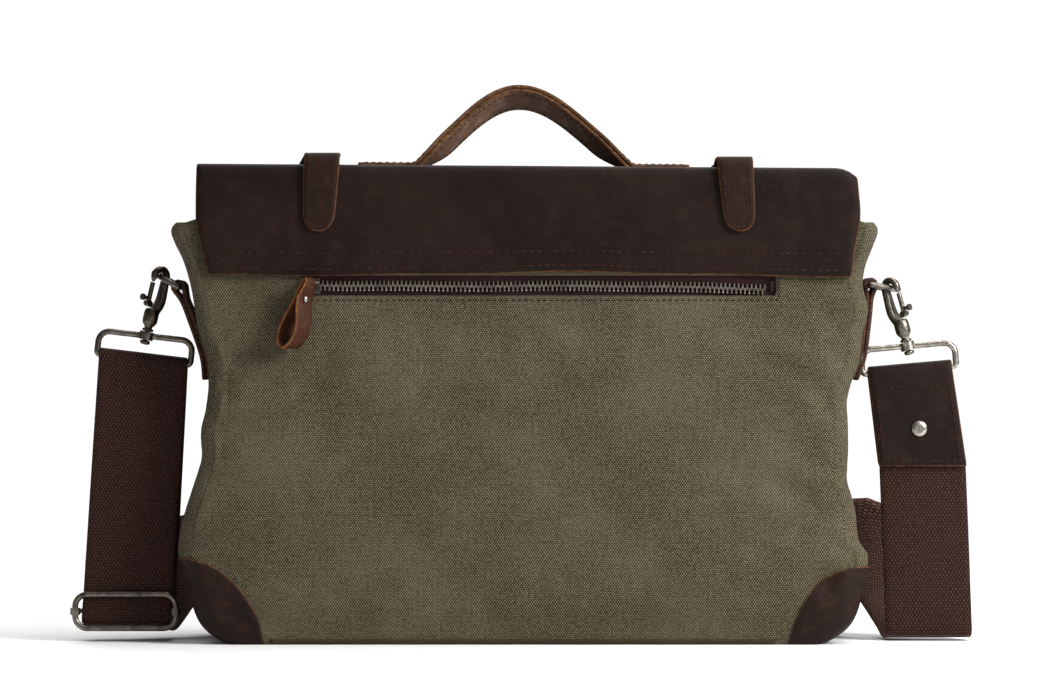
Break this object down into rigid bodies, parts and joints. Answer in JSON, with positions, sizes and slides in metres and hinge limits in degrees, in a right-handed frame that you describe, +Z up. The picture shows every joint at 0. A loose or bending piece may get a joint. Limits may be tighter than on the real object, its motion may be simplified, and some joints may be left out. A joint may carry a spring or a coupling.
{
  "type": "messenger bag",
  "caption": "Canvas messenger bag with a leather flap, rear zip pocket, carry handle and a webbing shoulder strap on swivel snap hooks",
  "frame": {"origin": "middle of the flat underside of the bag, where it stands", "axes": "+Z up, +X along the bag's length to the right seen from its zip pocket side, +Y towards the front of the flap; the zip pocket side faces -Y"},
  "size_m": [0.5214, 0.2001, 0.3208],
  "materials": {
    "canvas": "washed plain weave",
    "lining_cloth": "plain weave",
    "binding_tape": "woven",
    "zip_tape": "woven",
    "webbing": "coarse weave",
    "dark_leather": "waxed",
    "brown_leather": "waxed",
    "gunmetal": "brushed, dark",
    "nickel": "satin",
    "board": "matte"
  },
  "bodies": {
    "bag": {"back_panel": "canvas", "front_panel": "canvas", "gusset_left": "canvas", "gusset_right": "canvas", "base_panel": "canvas", "base_board": "board", "lining": "lining_cloth", "pocket_pouch": "lining_cloth", "binding_back": "binding_tape", "binding_front": "binding_tape", "corner_patch_back_left": "dark_leather", "corner_patch_back_right": "dark_leather", "corner_patch_front_left": "dark_leather", "corner_patch_front_right": "dark_leather", "zip_tapes": "zip_tape", "zip_teeth": "gunmetal", "zip_stops": "gunmetal", "flap_back": "dark_leather", "closure_tab_left": "dark_leather", "closure_tab_right": "dark_leather", "magnet_base_left": "gunmetal", "magnet_base_right": "gunmetal", "side_anchor_left": "brown_leather", "side_anchor_right": "brown_leather", "webbing_rear": "webbing"},
    "flap_top": {"flap_crown": "dark_leather", "closure_top_left": "dark_leather", "closure_top_right": "dark_leather", "handle_foot_left": "brown_leather", "handle_foot_right": "brown_leather"},
    "flap_front": {"flap_drop": "dark_leather", "closure_front_left": "dark_leather", "closure_front_right": "dark_leather", "buckle_left": "gunmetal", "buckle_right": "gunmetal", "magnet_cap_left": "gunmetal", "magnet_cap_right": "gunmetal"},
    "handle": {"handle_grip": "brown_leather"},
    "slider": {"zip_slider": "gunmetal"},
    "pull": {"zip_pull": "brown_leather", "zip_pull_rivet": "gunmetal"},
    "ring_d_left": {"d_ring_left": "gunmetal"},
    "ring_d_right": {"d_ring_right": "gunmetal"},
    "hook_left": {"snap_hook_left": "gunmetal"},
    "hook_right": {"snap_hook_right": "gunmetal"},
    "gate_left": {"hook_gate_left": "gunmetal"},
    "gate_right": {"hook_gate_right": "gunmetal"},
    "swivel_left": {"strap_ring_left": "gunmetal"},
    "swivel_right": {"strap_ring_right": "nickel"},
    "strap_left": {"webbing_left": "webbing"},
    "strap_right": {"webbing_right": "webbing", "strap_end_leather": "dark_leather", "strap_rivet": "nickel"},
    "adjuster": {"adjuster_frame": "gunmetal", "adjuster_bar": "gunmetal"}
  },
  "joints": [
    {"name": "flap_lift", "type": "hinge", "parent": "bag", "child": "flap_top", "pos_m": [0, -0.0515, 0.271], "axis": [1, 0, 0], "range_deg": [0, 160]},
    {"name": "flap_bend", "type": "hinge", "parent": "flap_top", "child": "flap_front", "pos_m": [0, 0.049, 0.271], "axis": [1, 0, 0], "range_deg": [0, 90]},
    {"name": "handle_tilt", "type": "hinge", "parent": "flap_top", "child": "handle", "pos_m": [0, 0, 0.2761], "axis": [1, 0, 0], "range_deg": [-12, 36]},
    {"name": "zip_travel", "type": "slide", "parent": "bag", "child": "slider", "axis": [1, 0, 0], "range_m": [0, 0.257]},
    {"name": "pull_lift", "type": "hinge", "parent": "slider", "child": "pull", "pos_m": [-0.122, -0.052, 0.207], "axis": [-1, 0, 0], "range_deg": [0, 100]},
    {"name": "d_ring_left_lift", "type": "hinge", "parent": "bag", "child": "ring_d_left", "pos_m": [-0.1998, 0, 0.2049], "axis": [0, 1, 0], "range_deg": [0, 35]},
    {"name": "d_ring_right_lift", "type": "hinge", "parent": "bag", "child": "ring_d_right", "pos_m": [0.2007, 0, 0.206], "axis": [0, -1, 0], "range_deg": [0, 50]},
    {"name": "hook_left_swing", "type": "hinge", "parent": "ring_d_left", "child": "hook_left", "pos_m": [-0.21033, -0.012, 0.21074], "axis": [-0.6174, 0.7083, 0.3422], "range_deg": [0, 60]},
    {"name": "gate_left_press", "type": "hinge", "parent": "hook_left", "child": "gate_left", "pos_m": [-0.21711, -0.01511, 0.19548], "axis": [-0.6884, 0.7071, 0.1615], "range_deg": [0, 20], "stiffness_Nm_per_rad": 0.05, "springref_deg": -5.73},
    {"name": "swivel_left_turn", "type": "hinge", "parent": "hook_left", "child": "swivel_left", "pos_m": [-0.21832, -0.012, 0.17666], "axis": [0.2284, 0, 0.9736], "range_deg": [-20, 0]},
    {"name": "strap_left_swing", "type": "hinge", "parent": "swivel_left", "child": "strap_left", "pos_m": [-0.21997, -0.012, 0.16286], "axis": [-0.993, 0, 0.1184], "range_deg": [0, 60]},
    {"name": "hook_right_swing", "type": "hinge", "parent": "ring_d_right", "child": "hook_right", "pos_m": [0.21262, -0.012, 0.20432], "axis": [-0.699, -0.7083, 0.0982], "range_deg": [0, 60]},
    {"name": "gate_right_press", "type": "hinge", "parent": "hook_right", "child": "gate_right", "pos_m": [0.22003, -0.01511, 0.18937], "axis": [-0.6811, -0.7071, -0.1902], "range_deg": [0, 20], "stiffness_Nm_per_rad": 0.05, "springref_deg": -5.73},
    {"name": "swivel_right_turn", "type": "hinge", "parent": "hook_right", "child": "swivel_right", "pos_m": [0.22204, -0.012, 0.17061], "axis": [-0.2689, 0, 0.9632], "range_deg": [-20, 20]},
    {"name": "strap_right_swing", "type": "hinge", "parent": "swivel_right", "child": "strap_right", "pos_m": [0.22325, -0.012, 0.15677], "axis": [-0.9962, 0, -0.0872], "range_deg": [0, 60]},
    {"name": "adjuster_slide", "type": "slide", "parent": "strap_left", "child": "adjuster", "axis": [0.0642, 0, 0.9979], "range_m": [0, 0.11]}
  ]
}
